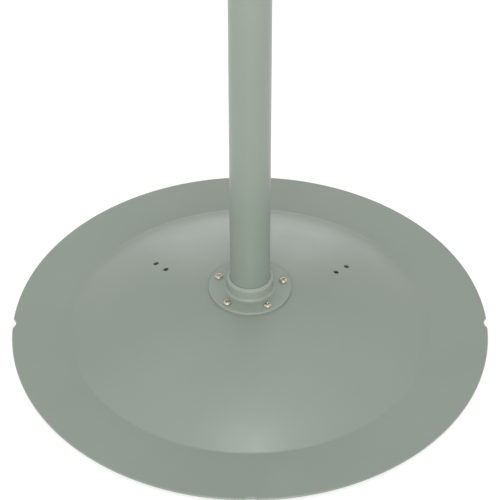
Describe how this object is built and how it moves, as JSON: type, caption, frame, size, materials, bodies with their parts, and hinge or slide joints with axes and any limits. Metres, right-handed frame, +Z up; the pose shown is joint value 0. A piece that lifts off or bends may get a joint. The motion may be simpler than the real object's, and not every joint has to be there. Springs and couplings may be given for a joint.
{
  "type": "customer pole display",
  "caption": "Customer display on a telescoping pole: domed round floor base, bolted pole flange, lever clamp, and a rectangular display head that swivels and tilts.",
  "frame": {"origin": "on the floor, under the pole's axis and the centre of the round base", "axes": "+Z up along the pole, -Y the way the display faces, +X to the display's right as its reader sees it"},
  "size_m": [0.6086, 0.6086, 1.3637],
  "materials": {
    "powder_coat": "grey-green satin powder coat with a fine even texture",
    "yellow_zinc": "yellow passivated zinc plating on steel",
    "zinc": "bright zinc plating on steel",
    "rubber": "matte black rubber",
    "black_plastic": "fine-textured charcoal nylon",
    "white_nylon": "natural white nylon",
    "grey_plastic": "fine-textured grey-green moulding",
    "smoked_window": "smoked clear acrylic, polished",
    "display_glass": "dark display glass over a character grid",
    "circuit_board": "green solder mask"
  },
  "bodies": {
    "stand": {"base_shell": "powder_coat", "foot_pad_1": "rubber", "foot_pad_2": "rubber", "foot_pad_3": "rubber", "foot_pad_4": "rubber", "backing_plate": "zinc", "pole_flange": "powder_coat", "flange_screw_1": "yellow_zinc", "flange_screw_2": "yellow_zinc", "flange_screw_3": "yellow_zinc", "flange_screw_4": "yellow_zinc", "flange_screw_5": "yellow_zinc", "flange_washer_1": "zinc", "flange_washer_2": "zinc", "flange_washer_3": "zinc", "flange_washer_4": "zinc", "flange_washer_5": "zinc", "flange_nut_1": "zinc", "flange_nut_2": "zinc", "flange_nut_3": "zinc", "flange_nut_4": "zinc", "flange_nut_5": "zinc", "pole_lock_screw": "zinc", "pole_tube": "powder_coat", "cable_grommet": "rubber", "clamp_collar": "black_plastic", "guide_bush": "white_nylon", "collar_screw": "zinc", "clamp_bolt": "zinc", "clamp_nut": "zinc", "cam_washer": "black_plastic", "lever_pin": "zinc"},
    "lever": {"clamp_lever": "black_plastic"},
    "mast": {"mast_tube": "powder_coat", "mast_glide": "white_nylon", "mast_cap": "black_plastic", "swivel_washer": "white_nylon"},
    "yoke": {"tilt_yoke": "powder_coat", "retaining_ring": "zinc", "tilt_bolt": "zinc", "knob_washer": "zinc", "friction_washer_left": "white_nylon", "friction_washer_right": "white_nylon"},
    "knob": {"tilt_knob": "black_plastic"},
    "head": {"front_bezel": "grey_plastic", "rear_cover": "grey_plastic", "display_window": "smoked_window", "display_tube": "display_glass", "display_board": "circuit_board", "connector_block": "black_plastic", "cover_screw_1": "zinc", "cover_screw_2": "zinc", "cover_screw_3": "zinc", "cover_screw_4": "zinc"},
    "button": {"power_button": "black_plastic"}
  },
  "joints": [
    {"name": "mast_height", "type": "slide", "parent": "stand", "child": "mast", "axis": [0, 0, 1], "range_m": [-0.22, 0.19]},
    {"name": "clamp_lever_swing", "type": "hinge", "parent": "stand", "child": "lever", "pos_m": [0.0215, 0.041, 0.975], "axis": [0, 0, 1], "range_deg": [0, 90]},
    {"name": "head_swivel", "type": "hinge", "parent": "mast", "child": "yoke", "pos_m": [0, 0, 1.25], "axis": [0, 0, 1], "range_deg": [-160, 160]},
    {"name": "head_tilt", "type": "hinge", "parent": "yoke", "child": "head", "pos_m": [0, 0, 1.3177], "axis": [-1, 0, 0], "range_deg": [-2, 45]},
    {"name": "tilt_knob_turn", "type": "hinge", "parent": "yoke", "child": "knob", "pos_m": [0.038, 0, 1.3177], "axis": [1, 0, 0], "range_deg": [0, 270]},
    {"name": "power_button_press", "type": "slide", "parent": "head", "child": "button", "axis": [0, -1, 0], "range_m": [0, 0.0015], "stiffness_N_per_m": 400, "springref_m": -0.001}
  ]
}
